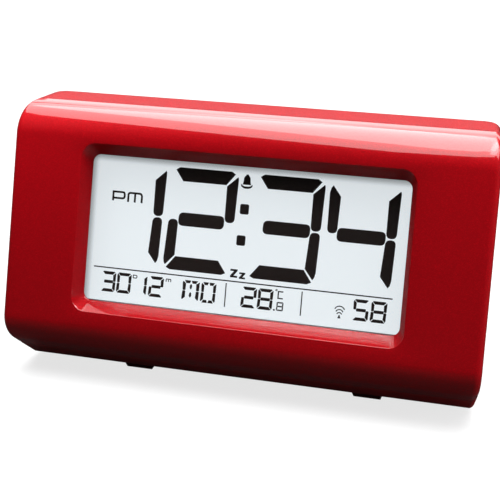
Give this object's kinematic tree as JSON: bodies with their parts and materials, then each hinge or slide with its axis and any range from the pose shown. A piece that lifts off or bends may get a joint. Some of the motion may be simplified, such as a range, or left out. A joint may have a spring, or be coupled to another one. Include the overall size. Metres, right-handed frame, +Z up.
{
  "type": "radio-controlled alarm clock",
  "caption": "Desk alarm clock with a leaning face, a liquid crystal display in a bevelled window, a press-down snooze bar along the top, rear keys and a battery door.",
  "frame": {"origin": "on the table under the middle of the clock, where the feet stand", "axes": "+X to the right as the display is read, +Y from front to back, +Z up"},
  "size_m": [0.1392, 0.0456, 0.0761],
  "materials": {
    "red_gloss": "glossy metallic red lacquer",
    "red_satin": "red plastic, slightly duller than the front",
    "clear_lens": "clear sheet, polished",
    "lcd_glass": "thin display glass",
    "lcd_ink": "dark brown-black lit segments",
    "lcd_silver": "pale grey reflector film",
    "guide_clear": "clear moulded light guide",
    "lamp_body": "pale resin lamp",
    "white_frame": "white moulded frame",
    "elastomer": "striped conductive elastomer",
    "board_green": "green solder mask",
    "resin_black": "black resin",
    "plated_metal": "bright plated steel",
    "screw_steel": "zinc plated screw",
    "capacitor_blue": "dark blue sleeve",
    "switch_black": "black moulded switch",
    "key_black": "fine matt black plastic",
    "cell_wrap": "plain dark cell wrap",
    "ferrite": "dull dark ferrite",
    "winding": "enamelled copper winding",
    "brass_disc": "rolled brass",
    "ceramic": "silvered ceramic",
    "foot_rubber": "soft black rubber"
  },
  "bodies": {
    "case": {"front_shell": "red_gloss", "rear_shell": "red_satin", "lens": "clear_lens", "lcd_front_glass": "lcd_glass", "lcd_rear_glass": "lcd_glass", "lcd_segments": "lcd_ink", "lcd_reflector": "lcd_silver", "light_guide": "guide_clear", "backlight_leds": "lamp_body", "lcd_holder": "white_frame", "connector_strip": "elastomer", "main_board": "board_green", "bar_board": "board_green", "key_board": "board_green", "receiver_board": "board_green", "controller_blob": "resin_black", "receiver_chip": "resin_black", "temperature_sensor": "resin_black", "clock_crystal": "plated_metal", "link_contact": "plated_metal", "positive_contact": "plated_metal", "negative_contact": "plated_metal", "battery_springs": "plated_metal", "bar_springs": "plated_metal", "slide_switch": "plated_metal", "board_screws": "screw_steel", "key_screws": "screw_steel", "case_screws": "screw_steel", "capacitors": "capacitor_blue", "bar_switch": "switch_black", "key_switches": "switch_black", "upper_cell": "cell_wrap", "lower_cell": "cell_wrap", "ferrite_rod": "ferrite", "aerial_coil": "winding", "piezo_disc": "brass_disc", "piezo_ceramic": "ceramic", "front_feet": "foot_rubber", "rear_feet": "foot_rubber"},
    "top_bar": {"snooze_bar": "red_gloss"},
    "mode_key": {"mode_key": "key_black"},
    "alarm_key": {"alarm_key": "key_black"},
    "up_key": {"up_key": "key_black"},
    "down_key": {"down_key": "key_black"},
    "wave_key": {"wave_key": "key_black"},
    "slider": {"alarm_slider": "key_black"},
    "door": {"battery_door": "red_satin"}
  },
  "joints": [
    {"name": "snooze_press", "type": "slide", "parent": "case", "child": "top_bar", "axis": [0, 0, -1], "range_m": [0, 0.001], "stiffness_N_per_m": 1500, "springref_m": -0.0006, "deforming": ["bar_springs"]},
    {"name": "mode_press", "type": "slide", "parent": "case", "child": "mode_key", "axis": [0, -0.9986, -0.0523], "range_m": [0, 0.0007], "stiffness_N_per_m": 1000, "springref_m": -0.0003},
    {"name": "alarm_press", "type": "slide", "parent": "case", "child": "alarm_key", "axis": [0, -0.9986, -0.0523], "range_m": [0, 0.0007], "stiffness_N_per_m": 1000, "springref_m": -0.0003},
    {"name": "up_press", "type": "slide", "parent": "case", "child": "up_key", "axis": [0, -0.9986, -0.0523], "range_m": [0, 0.0007], "stiffness_N_per_m": 1000, "springref_m": -0.0003},
    {"name": "down_press", "type": "slide", "parent": "case", "child": "down_key", "axis": [0, -0.9986, -0.0523], "range_m": [0, 0.0007], "stiffness_N_per_m": 1000, "springref_m": -0.0003},
    {"name": "wave_press", "type": "slide", "parent": "case", "child": "wave_key", "axis": [0, -0.9986, -0.0523], "range_m": [0, 0.0007], "stiffness_N_per_m": 1000, "springref_m": -0.0003},
    {"name": "alarm_slide", "type": "slide", "parent": "case", "child": "slider", "axis": [-1, 0, 0], "range_m": [0, 0.004]},
    {"name": "door_swing", "type": "hinge", "parent": "case", "child": "door", "pos_m": [0, 0.02171, 0.00899], "axis": [-1, 0, 0], "range_deg": [0, 60]}
  ]
}
